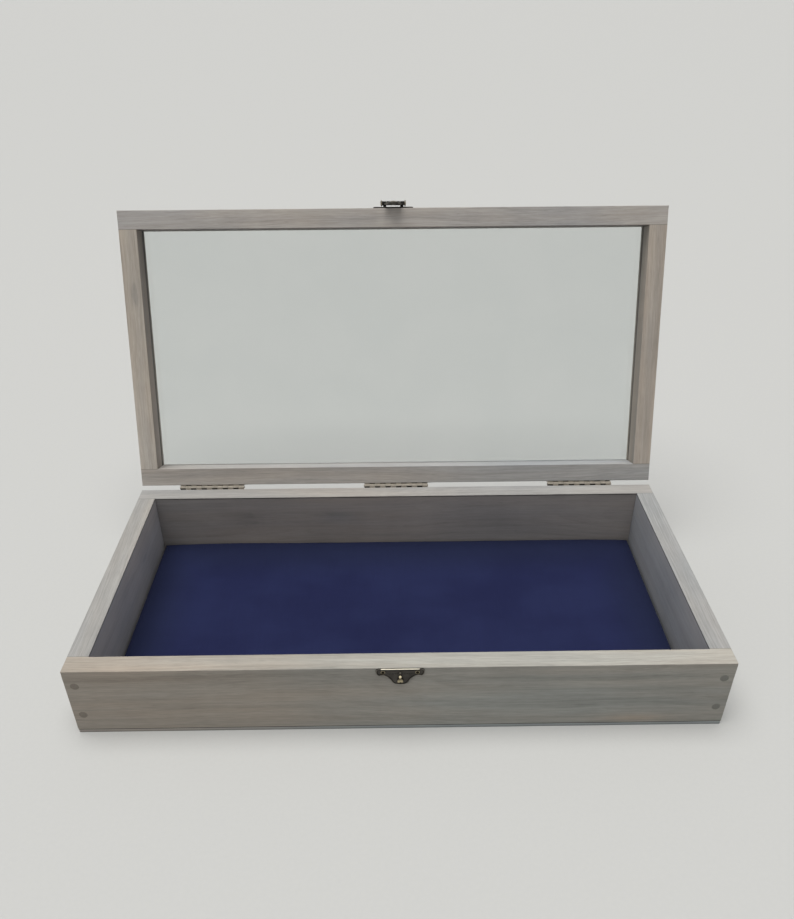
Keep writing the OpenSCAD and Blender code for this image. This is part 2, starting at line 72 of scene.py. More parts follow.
class Tree:
    """A material's node tree, built with short calls. Values are numbers or sockets."""

    def __init__(self, name):
        self.mat = bpy.data.materials.new(name)
        self.mat.use_nodes = True
        self.nt = self.mat.node_tree
        self.nt.nodes.clear()
        self.out = self.nt.nodes.new("ShaderNodeOutputMaterial")

    def put(self, socket, value):
        if isinstance(value, bpy.types.NodeSocket):
            self.nt.links.new(value, socket)
        elif value is not None:
            if hasattr(socket, "default_value") and isinstance(value, (tuple, list)):
                n = len(socket.default_value)
                socket.default_value = tuple(value)[:n]
            else:
                socket.default_value = value

    def node(self, kind, ins=None, **props):
        n = self.nt.nodes.new(kind)
        for k, v in props.items():
            setattr(n, k, v)
        for k, v in (ins or {}).items():
            self.put(n.inputs[k], v)
        return n

    def m(self, op, a, b=None, c=None, clamp=False):
        n = self.node("ShaderNodeMath", operation=op, use_clamp=clamp)
        for i, v in enumerate((a, b, c)):
            if v is not None:
                self.put(n.inputs[i], v)
        return n.outputs[0]

    def add(self, a, *rest):
        for b in rest:
            a = self.m("ADD", a, b)
        return a

    def mul(self, a, *rest):
        for b in rest:
            a = self.m("MULTIPLY", a, b)
        return a

    def sub(self, a, b):
        return self.m("SUBTRACT", a, b)

    def dev(self, v, k):
        """How far v is from one half, times k."""
        return self.mul(self.sub(v, 0.5), k)

    def vm(self, op, a, b=None, out=0):
        n = self.node("ShaderNodeVectorMath", operation=op)
        self.put(n.inputs[0], a)
        if b is not None:
            self.put(n.inputs[1], b)
        return n.outputs[out]

    def mix(self, fac, a, b, blend="MIX"):
        n = self.node("ShaderNodeMix", data_type="RGBA", blend_type=blend)
        self.put(n.inputs[0], fac)
        self.put(n.inputs[6], a)
        self.put(n.inputs[7], b)
        return n.outputs[2]

    def mixf(self, fac, a, b):
        n = self.node("ShaderNodeMix", data_type="FLOAT")
        self.put(n.inputs[0], fac)
        self.put(n.inputs[2], a)
        self.put(n.inputs[3], b)
        return n.outputs[0]

    def times(self, colour, lum):
        """A colour made lighter or darker by a number."""
        g = self.node("ShaderNodeCombineColor")
        for i in range(3):
            self.put(g.inputs[i], lum)
        return self.mix(1.0, colour, g.outputs[0], "MULTIPLY")

    def rng(self, v, a, b, c=0.0, d=1.0, smooth=True):
        """v mapped from a..b to c..d, clamped."""
        n = self.node(
            "ShaderNodeMapRange",
            interpolation_type="SMOOTHSTEP" if smooth else "LINEAR",
            clamp=True,
        )
        for k, x in enumerate((v, a, b, c, d)):
            self.put(n.inputs[k], x)
        return n.outputs[0]

    def ramp(self, fac, stops, mode="LINEAR"):
        n = self.node("ShaderNodeValToRGB")
        n.color_ramp.interpolation = mode
        el = n.color_ramp.elements
        while len(el) > 1:
            el.remove(el[-1])
        el[0].position, el[0].color = stops[0]
        for p, c in stops[1:]:
            e = el.new(p)
            e.color = c
        self.put(n.inputs[0], fac)
        return n.outputs[0]

    def noise(self, vec, detail=2.0, rough=0.5, dist=0.0, scale=1.0, color=False):
        n = self.node("ShaderNodeTexNoise", noise_dimensions="3D")
        self.put(n.inputs["Vector"], vec)
        self.put(n.inputs["Scale"], scale)
        self.put(n.inputs["Detail"], detail)
        self.put(n.inputs["Roughness"], rough)
        self.put(n.inputs["Distortion"], dist)
        return n.outputs["Color" if color else "Fac"]

    def xyz(self, x, y, z):
        n = self.node("ShaderNodeCombineXYZ")
        for i, v in enumerate((x, y, z)):
            self.put(n.inputs[i], v)
        return n.outputs[0]

    def sep(self, v):
        n = self.node("ShaderNodeSeparateXYZ")
        self.put(n.inputs[0], v)
        return n.outputs

    def bump(self, height, dist, strength=1.0, normal=None):
        n = self.node("ShaderNodeBump")
        self.put(n.inputs["Height"], height)
        self.put(n.inputs["Distance"], dist)
        self.put(n.inputs["Strength"], strength)
        if normal is not None:
            self.put(n.inputs["Normal"], normal)
        return n.outputs[0]

    def principled(self, **ins):
        n = self.node("ShaderNodeBsdfPrincipled")
        for k, v in ins.items():
            self.put(n.inputs[k.replace("_", " ")], v)
        self.nt.links.new(n.outputs[0], self.out.inputs["Surface"])
        return n

    def coords(self, lid=False):
        """Row coordinates in millimetres; a lid's piece gives those it has when shut."""
        v = self.node("ShaderNodeTexCoord").outputs["Object"]
        if lid:
            r = Matrix.Rotation(LID_OPEN, 3, "X")
            loc = AXIS - r @ AXIS
            n = self.node("ShaderNodeMapping", vector_type="POINT")
            self.put(n.inputs["Vector"], v)
            n.inputs["Location"].default_value = loc
            n.inputs["Rotation"].default_value = (LID_OPEN, 0, 0)
            v = n.outputs[0]
        n = self.node("ShaderNodeVectorMath", operation="SCALE")
        self.put(n.inputs[0], v)
        n.inputs["Scale"].default_value = 1000.0
        return n.outputs[0]

    def facing(self, direction, lid=False):
        """How far the surface faces along a direction of the shut case, either way."""
        d = Vector(direction)
        if lid:
            d = Matrix.Rotation(-LID_OPEN, 3, "X") @ d
        n = self.node("ShaderNodeTexCoord").outputs["Normal"]
        return self.m("ABSOLUTE", self.vm("DOT_PRODUCT", n, tuple(d), out=1))


def set_material(obj, mat):
    obj.data.materials.clear()
    obj.data.materials.append(mat)
    for p in obj.data.polygons:
        p.material_index = 0


# --------------------------------------------------------------------- wood

COOL = lin(149, 149, 147)
WARM = lin(158, 149, 138)


def wood(
    name,
    axis,
    lid=False,
    seed=(0.0, 0.0, 0.0),
    pith=(-60.0, 20.0),
    cool=COOL,
    warm=WARM,
    tone=1.0,
    shift=None,
    spacing=3.0,
    contrast=1.0,
    front=1.0,
    top=None,
    inside_light_and_shade=(1.0, 1.0, 1.0),
    knots=(),
    patches=(),
):
    """Grey-stained, thinly finished softwood with its grain along one axis (0 is X, 1 is Y)."""
    t = Tree(name)
    mm = t.coords(lid)
    x, y, z = t.sep(mm)
    u, v = (x, y) if axis == 0 else (y, x)

    # the lines drift sideways together, and part round a knot
    p = t.vm("ADD", t.xyz(u, v, z), seed)
    drift = t.noise(t.vm("MULTIPLY", p, (1 / 360, 1 / 120, 1 / 120)), detail=1.0)
    ripple = t.noise(t.vm("MULTIPLY", p, (1 / 110, 1 / 30, 1 / 30)), detail=1.0)
    push = t.add(t.dev(drift, 26.0), t.dev(ripple, 2.6))
    vv, ww = t.add(v, push), t.add(z, t.mul(push, 0.8))
    core = None
    for ku, kv, kz, size in knots:
        du = t.mul(t.sub(u, ku), 1 / (size * 3.0))
        dv = t.mul(t.sub(v, kv), 1 / size)
        dz = t.mul(t.sub(z, kz), 1 / size)
        d2 = t.add(t.mul(du, du), t.mul(dv, dv), t.mul(dz, dz))
        g = t.m("EXPONENT", t.mul(d2, -0.8))
        vv = t.sub(vv, t.mul(t.sub(v, kv), g, 0.85))
        ww = t.sub(ww, t.mul(t.sub(z, kz), g, 0.85))
        c = t.rng(d2, 0.02, 0.9, 1.0, 0.0)
        core = c if core is None else t.m("MAXIMUM", core, c)
    q = t.vm("ADD", t.xyz(u, vv, ww), seed)

    def streaks(lu, lv, **k):
        return t.noise(t.vm("MULTIPLY", q, (1 / lu, 1 / lv, 1 / lv)), **k)

    # the log the board was cut from: rings round a slightly tilted pith
    qs = t.sep(q)
    a = t.add(qs[1], pith[0], t.mul(qs[0], 0.010))
    b = t.add(qs[2], pith[1], t.mul(qs[0], -0.014))
    r = t.m("SQRT", t.add(t.mul(a, a), t.mul(b, b)))
    r = t.add(r, t.dev(streaks(480, 60, detail=1.0), 10.0), t.dev(streaks(140, 14, detail=1.0), 0.9))
    ph = t.m("FRACT", t.m("DIVIDE", r, spacing))
    ring = t.mul(t.rng(ph, 0.20, 0.90), t.rng(ph, 0.90, 1.0, 1.0, 0.0))
    ring = t.mul(ring, t.rng(streaks(240, 11, detail=2.0), 0.40, 0.66, 0.1, 1.0))

    band = streaks(420, 10, detail=2.0, rough=0.5)
    tint = streaks(330, 17, detail=2.0, rough=0.5)
    mid = streaks(150, 2.6, detail=2.0, rough=0.55)
    fine = streaks(38, 0.95, detail=2.0, rough=0.6)
    hair = streaks(13, 0.8, detail=2.0, rough=0.6)
    fleck = t.rng(streaks(11, 0.6, detail=1.0), 0.66, 0.74)
    blotch = t.noise(t.vm("MULTIPLY", q, (1 / 190, 1 / 60, 1 / 60)), detail=3.0, rough=0.5)
    cross = t.noise(t.vm("MULTIPLY", q, (1 / 26, 1 / 60, 1 / 60)), detail=2.0)

    if shift is None:
        fac = t.add(0.5, t.dev(blotch, 1.9), t.dev(tint, 1.1))
    else:  # stops of (position along the board in mm, how warm)
        lo, hi = shift[0][0], shift[-1][0]
        along = t.ramp(
            t.rng(u, lo, hi, 0, 1, smooth=False),
            [((s - lo) / (hi - lo), (k, k, k, 1)) for s, k in shift],
            "EASE",
        )
        fac = t.add(along, t.dev(blotch, 0.9), t.dev(tint, 0.9))

    # the faces that look into the case, where the streaks are fainter and the stain cloudier
    ay, axx = t.m("ABSOLUTE", y), t.m("ABSOLUTE", x)
    inside = t.mul(t.rng(ay, 1000 * IY + 0.1, 1000 * IY + 0.3, 1.0, 0.0), t.rng(axx, 1000 * IX + 0.1, 1000 * IX + 0.3, 1.0, 0.0))

    k = contrast
    lum = t.add(t.dev(band, 0.34 * k), t.dev(mid, 0.38 * k), t.dev(fine, 0.46 * k), t.dev(hair, 0.34 * k))
    lum = t.add(1.0, t.mul(lum, t.sub(1.0, t.mul(inside, 0.45))), t.mul(t.dev(blotch, 0.62), t.add(0.4, t.mul(inside, 0.6))))
    lum = t.add(lum, t.dev(cross, 0.14 * k), t.mul(ring, -0.085 * k), t.mul(fleck, -0.13 * k))
    for pu, pz, su, sz, dw, dl in patches:  # patches that shift the board's lightness and warmth
        du, dz = t.mul(t.sub(u, pu), 1 / su), t.mul(t.sub(ww, pz), 1 / sz)
        g = t.m("EXPONENT", t.mul(t.add(t.mul(du, du), t.mul(dz, dz)), -1.0))
        fac = t.add(fac, t.mul(g, dw))
        lum = t.add(lum, t.mul(g, dl))
    if core is not None:
        lum = t.sub(lum, t.mul(core, 0.13))
        fac = t.sub(fac, t.mul(core, 0.15))
    col = t.mix(t.m("ADD", fac, 0.0, clamp=True), cool, warm)
    lum = t.mul(lum, tone)
    # painted shade: the faces that look forwards and backwards are made darker by this factor
    if front != 1.0:
        lum = t.mul(lum, t.mixf(t.rng(t.facing((0, 1, 0), lid), 0.72, 0.95), 1.0, front))
    if top:  # (position along the board in mm, how light its upper face is there): painted light and shade on the upper face
        lo, hi = top[0][0], top[-1][0]
        along = t.ramp(
            t.rng(u, lo, hi, 0, 1, smooth=False), [((s - lo) / (hi - lo), (g / 2, g / 2, g / 2, 1)) for s, g in top], "EASE"
        )
        lum = t.mul(lum, t.mixf(t.rng(t.facing((0, 0, 1), lid), 0.72, 0.95), 1.0, t.mul(t.sep(along)[0], 2.0)))

    # end grain drinks more stain
    end = t.rng(t.facing((1, 0, 0) if axis == 0 else (0, 1, 0), lid), 0.75, 0.93)
    speck = t.noise(t.vm("MULTIPLY", q, (1 / 9, 1 / 0.6, 1 / 0.6)), detail=2.0)
    endlum = t.add(0.84, t.mul(ring, -0.20), t.dev(speck, 0.45))
    lum = t.mixf(end, lum, t.mul(endlum, tone))

    # fine dark line where a side piece butts against front and rear
    line = t.rng(t.m("ABSOLUTE", t.sub(ay, 1000 * IY)), 0.10, 0.40, 1.0, 0.0)
    if axis == 0:
        line = t.mul(line, t.rng(axx, 1000 * IX - 0.2, 1000 * IX))
    lum = t.mul(lum, t.sub(1.0, t.mul(line, 0.45)))

    # painted shade under the arris on the inside, in the corners of the reveals and low on the inside walls; painted
    # light higher up the inside of the side boards
    if lid:  # painted shade along the groove where the pane goes in
        low = 99.6 if axis == 1 else 102.6
        rim = t.mul(t.rng(z, low, low + 1.2), t.rng(z, 104.4, 104.9, 1.0, 0.0))
        lum = t.mul(lum, t.sub(1.0, t.mul(inside, rim, 0.8 if axis == 1 else 0.7)))
    else:
        # painted light: the inside of each side board grows lighter towards its upper edge
        if axis == 1:
            lum = t.mul(lum, t.add(1.0, t.mul(inside, t.rng(z, 18.0, 70.0, 0.0, 0.13, smooth=False))))
        # painted shade: a dark band just under the arris on the inside
        under = t.mul(t.rng(z, 76.3, 77.0), t.rng(z, 78.1, 78.25, 1.0, 0.0))
        lum = t.mul(lum, t.sub(1.0, t.mul(inside, under, 0.72)))
        # painted shade low on the inside walls, next to the pad
        foot_shade = t.rng(z, 13.0, 17.0, 1.0, 0.0)
        lum = t.mul(lum, t.sub(1.0, t.mul(inside, foot_shade, 0.15)))
    col = t.times(col, lum)
    # a tint for each board's faces inside the case: painted light and shade, set board by board, bluish where light
    # comes off the navy pad
    if inside_light_and_shade != (1.0, 1.0, 1.0):
        col = t.mix(inside, col, t.mix(1.0, col, (*inside_light_and_shade, 1.0), "MULTIPLY"))

    rough = t.add(0.50, t.mul(fine, 0.16), t.mul(end, 0.15))
    h = t.add(t.mul(fine, 0.5), t.mul(mid, 0.5), t.mul(fleck, -0.5), t.mul(ring, -0.25))
    t.principled(
        Base_Color=col,
        Roughness=rough,
        Specular_IOR_Level=0.32,
        Normal=t.bump(h, 0.00012, 0.7),
    )
    return t.mat


WOODS = {
    "base_front_board": dict(
        axis=0,
        seed=(11.0, 3.0, 40.0),
        pith=(-150.0, -120.0),
        front=0.79,
        tone=1.05,
        cool=lin(150, 151, 146),
        warm=lin(158, 148, 136),
        shift=[(-305, 0.85), (-140, 0.75), (-20, 0.4), (60, 0.15), (150, 0.1), (235, 0.3), (305, 0.45)],
        top=[(-305, 0.89), (-90, 0.90), (10, 0.97), (305, 1.03)],
        patches=(
            (222, 12, 34, 5.5, 0.8, 0.14),
            (-210, 70, 170, 4.0, 0.1, -0.19),
            (190, 67, 150, 4.5, -0.1, -0.15),
            (-60, 44, 60, 9, 0.2, 0.04),
            (90, 34, 90, 10, -0.3, -0.05),
        ),
    ),
    "base_rear_board": dict(
        axis=0,
        seed=(410.0, 7.0, 13.0),
        pith=(-240.0, -60.0),
        tone=0.94,
        cool=lin(149, 150, 150),
        warm=lin(154, 149, 143),
        inside_light_and_shade=(0.96, 0.92, 0.91),
        shift=[(-305, 0.4), (-80, 0.8), (120, 0.4), (305, 0.5)],
        patches=((-70, 52, 22, 8, -0.6, -0.08), (-200, 40, 60, 20, 0.2, -0.06)),
    ),
    "base_left_board": dict(
        axis=1,
        seed=(90.0, 280.0, 77.0),
        pith=(60.0, -120.0),
        tone=0.93,
        cool=lin(148, 149, 149),
        warm=lin(154, 150, 144),
        top=[(-155, 0.94), (155, 0.965)],
        inside_light_and_shade=(1.35, 1.35, 1.44),
        knots=((60, -285, 46, 4.5),),
        patches=((126, 26, 22, 26, 0, 0.16), (100, 52, 34, 15, 0, 0.07)),
    ),
    "base_right_board": dict(
        axis=1,
        seed=(733.0, -310.0, 31.0),
        pith=(-80.0, -90.0),
        tone=0.93,
        cool=lin(147, 150, 151),
        warm=lin(151, 149, 146),
        top=[(-155, 0.95), (155, 0.99)],
        inside_light_and_shade=(1.07, 1.07, 1.12),
    ),
    "lid_front_rail": dict(
        axis=0,
        lid=True,
        seed=(57.0, 160.0, -20.0),
        pith=(22.0, -240.0),
        tone=1.16,
        cool=lin(146, 145, 145),
        warm=lin(155, 147, 138),
        inside_light_and_shade=(0.45, 0.42, 0.40),
    ),
    "lid_rear_rail": dict(
        axis=0,
        lid=True,
        seed=(903.0, 120.0, 9.0),
        pith=(-160.0, -220.0),
        tone=0.99,
        cool=lin(145, 147, 148),
        warm=lin(156, 148, 139),
        inside_light_and_shade=(1.05, 1.09, 1.14),
        shift=[(-305, 0.8), (-60, 0.55), (120, 0.25), (305, 0.35)],
    ),
    "lid_left_stile": dict(
        axis=1,
        lid=True,
        seed=(61.0, 300.0, 3.0),
        pith=(12.0, -210.0),
        tone=1.12,
        warm=lin(160, 150, 138),
        inside_light_and_shade=(0.76, 0.74, 0.74),
        shift=[(-155, 0.95), (155, 0.75)],
        knots=((-66, -293, 79, 5.5),),
        patches=((-120, 104, 60, 17, 0, -0.45), (120, 104, 60, 17, 0, 0.38)),
    ),
    "lid_right_stile": dict(
        axis=1,
        lid=True,
        seed=(311.0, -290.0, 5.0),
        pith=(-9.0, -230.0),
        tone=1.04,
        warm=lin(161, 149, 136),
        inside_light_and_shade=(0.84, 0.86, 0.86),
        shift=[(-155, 0.85), (155, 0.8)],
        patches=((-120, 104, 60, 17, 0, -0.27), (120, 104, 60, 17, 0, 0.18)),
    ),
}
for node, kw in WOODS.items():
    set_material(NODES[node], wood("wood_" + node, **kw))
    weld = NODES[node].modifiers.new("weld", "WELD")
    weld.merge_threshold = 1e-6
    bev = NODES[node].modifiers.new("arris", "BEVEL")
    bev.width, bev.segments, bev.limit_method = 0.00018, 1, "ANGLE"
    bev.angle_limit = math.radians(50)
    bev.harden_normals = False


def dowel_wood(name, lid=False):
    """End grain of a small round dowel, darker, with a soft glue line round it."""
    t = Tree(name)
    mm = t.coords(lid)
    x, y, z = t.sep(mm)
    ax = t.sub(t.m("ABSOLUTE", x), 296.0)
    if lid:
        az = t.sub(z, 91.3)
    else:
        az = t.m("MINIMUM", t.m("ABSOLUTE", t.sub(z, 60.0)), t.m("ABSOLUTE", t.sub(z, 23.4)))
    r = t.m("SQRT", t.add(t.mul(ax, ax), t.mul(az, az)))
    speck = t.noise(t.vm("MULTIPLY", mm, (1 / 0.5, 1 / 9, 1 / 0.5)), detail=2.0)
    arcs = t.m("FRACT", t.add(t.mul(t.add(ax, t.mul(z, 0.6)), 0.8), t.mul(speck, 0.8)))
    lum = t.add(0.585, t.dev(speck, 0.45), t.mul(t.rng(arcs, 0.4, 1.0), -0.08))
    lum = t.mul(lum, t.add(1.0, t.mul(t.rng(r, 2.6, 3.9), 0.14)))
    tint = t.mix(t.rng(x, -120.0, 120.0), lin(156, 147, 136), lin(148, 147, 140))
    t.principled(
        Base_Color=t.times(tint, lum),
        Roughness=t.add(0.6, t.mul(speck, 0.2)),
        Specular_IOR_Level=0.2,
        Normal=t.bump(speck, 0.0001, 0.5),
    )
    return t.mat


set_material(NODES["base_corner_dowels"], dowel_wood("dowel_end_base"))
set_material(NODES["lid_corner_dowels"], dowel_wood("dowel_end_lid", True))


def ply(name):
    """Thin stained plywood: three plies along its edge, plain face below."""
    t = Tree(name)
    mm = t.coords()
    x, y, z = t.sep(mm)
    g = t.noise(t.vm("MULTIPLY", mm, (1 / 60, 1 / 1.4, 1 / 1.4)), detail=3.0, rough=0.6)
    wob = t.noise(t.vm("MULTIPLY", mm, (1 / 26, 1 / 26, 1 / 3)), detail=2.0)
    pz = t.add(z, t.dev(wob, 0.5))
    # painted shade: the lowest band of the edge is dark where the panel meets the floor; the dark band at the upper
    # edge is the joint
    lum = t.ramp(
        t.rng(pz, 0.0, 4.4, 0, 1, smooth=False),
        [(0.0, (0.40,) * 3 + (1,)), (0.16, (0.44,) * 3 + (1,)), (0.20, (0.76,) * 3 + (1,)), (0.36, (0.78,) * 3 + (1,)),
         (0.41, (0.62,) * 3 + (1,)), (0.54, (0.64,) * 3 + (1,)), (0.59, (1.02,) * 3 + (1,)), (0.74, (1.02,) * 3 + (1,)),
         (0.77, (0.08,) * 3 + (1,)), (1.0, (0.07,) * 3 + (1,))],
    )
    # painted light: the whole edge is made lighter to offset the shade it gets so near the floor
    lum = t.mul(t.sep(lum)[0], 1.34, t.add(1.0, t.dev(g, 0.35)))
    tint = t.mix(t.rng(x, -260.0, 20.0), lin(150, 144, 137), lin(142, 147, 147))
    under = t.rng(t.facing((0, 0, 1)), 0.8, 0.95)
    face = t.mix(t.rng(g, 0.3, 0.7), lin(146, 138, 127), lin(160, 150, 136))
    lum2 = t.add(0.95, t.dev(g, 0.4))
    t.principled(
        Base_Color=t.times(t.mix(under, tint, face), t.mixf(under, lum, lum2)),
        Roughness=t.add(0.6, t.mul(g, 0.2)),
        Specular_IOR_Level=0.3,
        Normal=t.bump(g, 0.00012, 0.6),
    )
    return t.mat


set_material(NODES["bottom_panel"], ply("stained_ply"))


def raw_board(name, dark, light, scale, rough=0.75):
    t = Tree(name)
    mm = t.coords()
    a = t.noise(t.vm("MULTIPLY", mm, (1 / scale,) * 3), detail=4.0, rough=0.65)
    b = t.noise(t.vm("MULTIPLY", mm, (1 / (scale * 18),) * 3), detail=2.0)
    col = t.mix(t.add(t.mul(a, 0.7), t.mul(b, 0.3)), dark, light)
    t.principled(
        Base_Color=col,
        Roughness=t.add(rough, t.mul(a, 0.15)),
        Normal=t.bump(a, 0.0002, 0.6),
    )
    return t.mat


set_material(NODES["pad_board"], raw_board("hardboard", lin(96, 66, 40), lin(158, 118, 78), 1.3))

# -------------------------------------------------------------------- glass


def glass(name):
    t = Tree(name)
    mm = t.coords(True)
    haze = t.noise(t.vm("MULTIPLY", mm, (1 / 90, 1 / 90, 1 / 90)), detail=3.0, dist=0.6)
    t.principled(
        Base_Color=t.mix(t.rng(haze, 0.3, 0.7), (0.815, 0.845, 0.835, 1), (0.835, 0.86, 0.85, 1)),
        Roughness=0.0,
        IOR=1.5,
        Transmission_Weight=1.0,
    )
    return t.mat


set_material(NODES["lid_glass"], glass("clear_pane"))
# lights reach things behind the pane straight through it, and once only
NODES["lid_glass"].visible_shadow = False
NODES["lid_glass"].visible_diffuse = False

# -------------------------------------------------------------------- metal


# near black, for patina in creases and for painted shade and a painted reflection where parts are marked so
NEAR_BLACK = lin(16, 14, 12)


def metal(
    name, deep, body, rub, lid=False, rough=(0.30, 0.50), mottle=0.5, scale=7.0, metallic=0.9, knuckle_shade=False
):
    """Antiqued metal: darker in recesses, rubbed bright where a piece is marked as worn.
    The last flag paints shade on the lower front side of the lid's knuckles, where they turn into the base's leaf."""
    t = Tree(name)
    mm = t.coords(lid)
    a = t.noise(t.vm("MULTIPLY", mm, (1 / scale,) * 3), detail=3.0, rough=0.55)
    f = t.noise(t.vm("MULTIPLY", mm, (1 / 0.30,) * 3), detail=2.0, rough=0.6)
    worn = t.node("ShaderNodeAttribute", attribute_name="worn").outputs["Fac"]
    dirt = t.node("ShaderNodeAttribute", attribute_name="dirt").outputs["Fac"]
    ao = t.node("ShaderNodeAmbientOcclusion", samples=8)
    ao.inputs["Distance"].default_value = 0.002
    open_ = t.rng(ao.outputs["AO"], 0.30, 0.90)
    amount = t.mul(open_, t.rng(t.add(a, t.dev(f, 0.25)), 0.25, 0.62, 1.0 - mottle, 1.0))
    col = t.mix(amount, deep, body)
    col = t.mix(t.rng(t.add(worn, t.dev(a, 0.4), t.dev(f, 0.2)), 0.2, 0.75), col, rub)
    # painted shade on the lower front side of the lid's knuckles, in the gap before the base's leaf
    if knuckle_shade:
        _, ry, rz = t.sep(t.coords())
        low = t.mul(t.rng(rz, 79.3, 79.7, 1.0, 0.0), t.rng(ry, 157.9, 158.4, 1.0, 0.0))
        dirt = t.m("MAXIMUM", dirt, t.mul(low, t.rng(a, 0.2, 0.5, 0.75, 1.0)))
    # points marked dark go near black: patina in creases, painted shade and a painted reflection
    col = t.mix(t.mul(dirt, 0.92), col, NEAR_BLACK)
    rg = t.add(t.rng(a, 0.3, 0.7, rough[1], rough[0]), t.dev(f, 0.12), t.mul(worn, -0.06), t.mul(dirt, 0.3))
    t.principled(
        Base_Color=col,
        Metallic=t.mixf(t.rng(worn, 0.6, 0.95), metallic, 0.3),
        Roughness=rg,
        Normal=t.bump(t.add(f, t.mul(a, 0.7)), 0.00004, 0.6),
    )
    return t.mat


BRASS = {
    k: metal(
        "antique_brass_lid" if k else "antique_brass_base",
        lin(94, 86, 73),
        lin(202, 193, 178),
        lin(224, 217, 202),
        k,
        mottle=0.3,
        metallic=0.75,
        knuckle_shade=k,
    )
    for k in (False, True)
}
for node, obj in NODES.items():
    if node.startswith("hinge_"):
        set_material(obj, BRASS["upper" in node])

DARK = {
    k: metal(
        "dark_bronze_lid" if k else "dark_bronze_base",
        lin(32, 30, 28),
        lin(77, 74, 70),
        lin(232, 225, 206),
        k,
        rough=(0.34, 0.5),
        mottle=0.3,
    )
    for k in (False, True)
}
WORN = {
    k: metal(
        "worn_brass_lid" if k else "worn_brass_base",
        lin(48, 40, 30),
        lin(150, 138, 112),
        lin(222, 210, 176),
        k,
        mottle=0.45,
        scale=2.5,
    )
    for k in (False, True)
}
set_material(NODES["latch_pin"], WORN[True])


def wire(name):
    t = Tree(name)
    mm = t.coords()
    a = t.noise(t.vm("MULTIPLY", mm, (1 / 0.6,) * 3), detail=3.0)
    t.principled(
        Base_Color=t.mix(a, lin(120, 118, 114), lin(196, 196, 198)),
        Metallic=0.95,
        Roughness=t.rng(a, 0.3, 0.7, 0.45, 0.3),
        Normal=t.bump(a, 0.00005, 0.6),
    )
    return t.mat


set_material(NODES["bottom_panel_brads"], wire("bright_wire"))

# ----------------------------------------------------------------- hardware


def smooth_by_angle(bm, degrees):
    lim = math.radians(degrees)
    for f in bm.faces:
        f.smooth = True
    for e in bm.edges:
        e.smooth = len(e.link_faces) == 2 and e.calc_face_angle(0.0) < lim


class Shells:
    """Closed shells in millimetres of the shut case, each point with how worn it is and how dark it is painted: patina
    in creases, painted shade under and inside parts, and a painted reflection on the pin heads.
    """

    def __init__(self):
        self.bm = bmesh.new()
        self.worn = self.bm.verts.layers.float.new("worn")
        self.dirt = self.bm.verts.layers.float.new("dirt")

    def vert(self, p, worn=0.0, dirt=0.0):
        v = self.bm.verts.new(p)
        v[self.worn], v[self.dirt] = worn, dirt
        return v

    def rings(self, loops, wrap=False):
        """loops: (points, worn, darkness from patina and painted shade), where the last two may be functions of the
        point.
        """
        rows = [
            [self.vert(p, worn(p) if callable(worn) else worn, dirt(p) if callable(dirt) else dirt) for p in pts]
            for pts, worn, dirt in loops
        ]
        pairs = list(zip(rows, rows[1:])) + ([(rows[-1], rows[0])] if wrap else [])
        for r0, r1 in pairs:
            n = len(r0)
            for i in range(n):
                self.bm.faces.new([r0[i], r0[(i + 1) % n], r1[(i + 1) % n], r1[i]])
        if not wrap:
            self.bm.faces.new(rows[0][::-1])
            self.bm.faces.new(rows[-1])

    def lathe(self, at, axis, profile, n=24, stretch=(1.0, 1.0)):
        """profile: (radius, height along the axis, worn, darkness from patina and painted shade); its ends are closed.
        """
        at, w = Vector(at), Vector(axis).normalized()
        e1 = Vector((0, 0, 1)) if abs(w.z) < 0.5 else Vector((1, 0, 0))
        e2 = w.cross(e1)
        loops = []
        for r, h, worn, dirt in profile:
            pts = []
            for i in range(n):
                c = 2 * math.pi * i / n
                pts.append(at + w * h + (e1 * math.cos(c) * stretch[0] + e2 * math.sin(c) * stretch[1]) * r)
            loops.append((pts, worn, dirt))
        self.rings(loops)

    def ball(self, at, r, worn=0.0, dirt=0.0, n=20):
        k = 9
        prof = [
            (max(r * math.sin(math.pi * i / k), 0.04), -r * math.cos(math.pi * i / k), worn, dirt)
            for i in range(k + 1)
        ]
        self.lathe(at, (0, 0, 1), prof, n)

    def done(self, name, mat, body, slot, *nodes, lid=False, angle=40):
        bmesh.ops.recalc_face_normals(self.bm, faces=self.bm.faces)
        m = Matrix.Scale(0.001, 4)
        if lid:
            m = OPEN @ m
        bmesh.ops.transform(self.bm, matrix=m, verts=self.bm.verts)
        smooth_by_angle(self.bm, angle)
        me = bpy.data.meshes.new(name)
        self.bm.to_mesh(me)
        self.bm.free()
        obj = bpy.data.objects.new(name, me)
        scene.collection.objects.link(obj)
        set_material(obj, mat)
        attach(obj, body)
        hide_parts(*nodes)
        return obj


PLATE_HALF = [
    (17.9, 0), (20, -0.3), (21.6, -1.4), (22.2, -3.6), (21.8, -6.2), (20.6, -8.1), (19.1, -8.8), (17.4, -8.4),
    (15.6, -8.4), (13.6, -9.3), (11.2, -11), (9, -13.6), (7.6, -16.4), (5.4, -18.7), (2.8, -19.5), (0, -19.7),
]


def catmull(a, b, c, d, t):
    return tuple(
        0.5 * (2 * q + (r - p) * t + (2 * p - 5 * q + 4 * r - s) * t * t + (3 * q - p - 3 * r + s) * t ** 3)
        for p, q, r, s in zip(a, b, c, d)
    )


